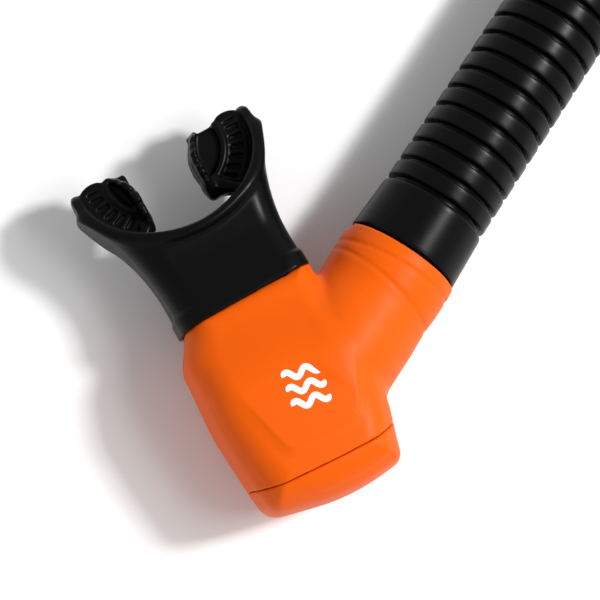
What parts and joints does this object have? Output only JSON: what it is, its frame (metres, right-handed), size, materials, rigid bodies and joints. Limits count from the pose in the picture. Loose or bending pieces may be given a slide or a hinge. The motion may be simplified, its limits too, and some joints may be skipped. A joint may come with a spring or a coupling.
{
  "type": "snorkel tube",
  "caption": "Dry snorkel with an orange purge chamber, black silicone mouthpiece, corrugated hose, barrel, mask clip and float-valve top.",
  "frame": {"origin": "middle of the flat pad on the back of the purge chamber", "axes": "+X along the hose towards the dry top, +Y towards the mouthpiece side, +Z from the chamber's back to its front face"},
  "size_m": [0.4285, 0.1139, 0.043],
  "materials": {
    "orange_plastic": "satin, finely textured",
    "black_silicone": "smooth, soft sheen",
    "black_plastic": "satin",
    "clear_silicone": "milky silicone",
    "float_plastic": "matt foamed plastic",
    "stainless_steel": "brushed"
  },
  "bodies": {
    "root": {"chamber_shell": "orange_plastic", "purge_cover": "orange_plastic", "purge_seat": "black_plastic", "hose_spigot": "black_plastic", "mouthpiece": "black_silicone", "mouthpiece_collar": "black_plastic"},
    "purge_flap": {"purge_valve": "clear_silicone"},
    "hose_0": {"hose_lower_cuff": "black_silicone"},
    "hose_1": {"hose_link_1": "black_silicone"},
    "hose_2": {"hose_link_2": "black_silicone"},
    "hose_3": {"hose_link_3": "black_silicone"},
    "hose_4": {"hose_link_4": "black_silicone"},
    "hose_5": {"hose_link_5": "black_silicone"},
    "hose_6": {"hose_upper_cuff": "black_silicone"},
    "barrel": {"barrel_tube": "black_plastic", "accent_band": "orange_plastic", "top_base": "black_plastic", "splash_guard": "orange_plastic", "top_cap": "black_plastic", "flap_pin": "stainless_steel"},
    "float": {"top_float": "float_plastic"},
    "flap": {"flap_lever": "black_plastic", "flap_seal": "clear_silicone"},
    "clip": {"clip_ring": "black_plastic", "keeper_stud": "stainless_steel"},
    "keeper": {"strap_keeper": "black_plastic", "latch_spring": "stainless_steel"},
    "latch": {"release_latch": "orange_plastic"}
  },
  "joints": [
    {"name": "purge_lift", "type": "slide", "parent": "root", "child": "purge_flap", "axis": [-0.5, -0.866, 0], "range_m": [0, 0.0012], "stiffness_N_per_m": 60, "springref_m": -0.0005},
    {"name": "hose_swivel", "type": "hinge", "parent": "root", "child": "hose_0", "pos_m": [0.05, -0.005, 0.0215], "axis": [1, 0, 0], "range_deg": [-90, 90]},
    {"name": "hose_bend_1", "type": "hinge", "parent": "hose_0", "child": "hose_1", "pos_m": [0.0673, -0.005, 0.0215], "axis": [0, 0, 1], "range_deg": [-12, 12], "stiffness_Nm_per_rad": 0.4, "deforming": ["hose_lower_cuff", "hose_link_1"]},
    {"name": "hose_bend_2", "type": "hinge", "parent": "hose_1", "child": "hose_2", "pos_m": [0.08635, -0.005, 0.0215], "axis": [0, 0, 1], "range_deg": [-12, 12], "stiffness_Nm_per_rad": 0.4, "deforming": ["hose_link_1", "hose_link_2"]},
    {"name": "hose_bend_3", "type": "hinge", "parent": "hose_2", "child": "hose_3", "pos_m": [0.1054, -0.005, 0.0215], "axis": [0, 0, 1], "range_deg": [-12, 12], "stiffness_Nm_per_rad": 0.4, "deforming": ["hose_link_2", "hose_link_3"]},
    {"name": "hose_bend_4", "type": "hinge", "parent": "hose_3", "child": "hose_4", "pos_m": [0.12445, -0.005, 0.0215], "axis": [0, 0, 1], "range_deg": [-12, 12], "stiffness_Nm_per_rad": 0.4, "deforming": ["hose_link_3", "hose_link_4"]},
    {"name": "hose_bend_5", "type": "hinge", "parent": "hose_4", "child": "hose_5", "pos_m": [0.1435, -0.005, 0.0215], "axis": [0, 0, 1], "range_deg": [-12, 12], "stiffness_Nm_per_rad": 0.4, "deforming": ["hose_link_4", "hose_link_5"]},
    {"name": "hose_bend_6", "type": "hinge", "parent": "hose_5", "child": "hose_6", "pos_m": [0.16255, -0.005, 0.0215], "axis": [0, 0, 1], "range_deg": [-12, 12], "stiffness_Nm_per_rad": 0.4, "deforming": ["hose_link_5", "hose_upper_cuff"]},
    {"name": "barrel_swivel", "type": "hinge", "parent": "hose_6", "child": "barrel", "pos_m": [0.17255, -0.005, 0.0215], "axis": [1, 0, 0], "range_deg": [-60, 60]},
    {"name": "clip_slide", "type": "slide", "parent": "barrel", "child": "clip", "axis": [1, 0, 0], "range_m": [-0.008, 0.025]},
    {"name": "keeper_swivel", "type": "hinge", "parent": "clip", "child": "keeper", "pos_m": [0.20555, 0.015, 0.0215], "axis": [0, 1, 0], "range_deg": [-90, 90]},
    {"name": "latch_press", "type": "slide", "parent": "keeper", "child": "latch", "axis": [0, 0, -1], "range_m": [0, 0.0018], "stiffness_N_per_m": 400, "springref_m": -0.001, "deforming": ["latch_spring"]},
    {"name": "float_rise", "type": "slide", "parent": "barrel", "child": "float", "axis": [0.9397, 0.342, 0], "range_m": [0, 0.0034]},
    {"name": "flap_turn", "type": "hinge", "parent": "barrel", "child": "flap", "pos_m": [0.3613, 0.03983, 0.0215], "axis": [0, 0, 1], "range_deg": [-35, 0]}
  ],
  "couplings": [
    {"joint": "flap_turn", "follows": "float_rise", "rad_per_m": -179.5}
  ]
}
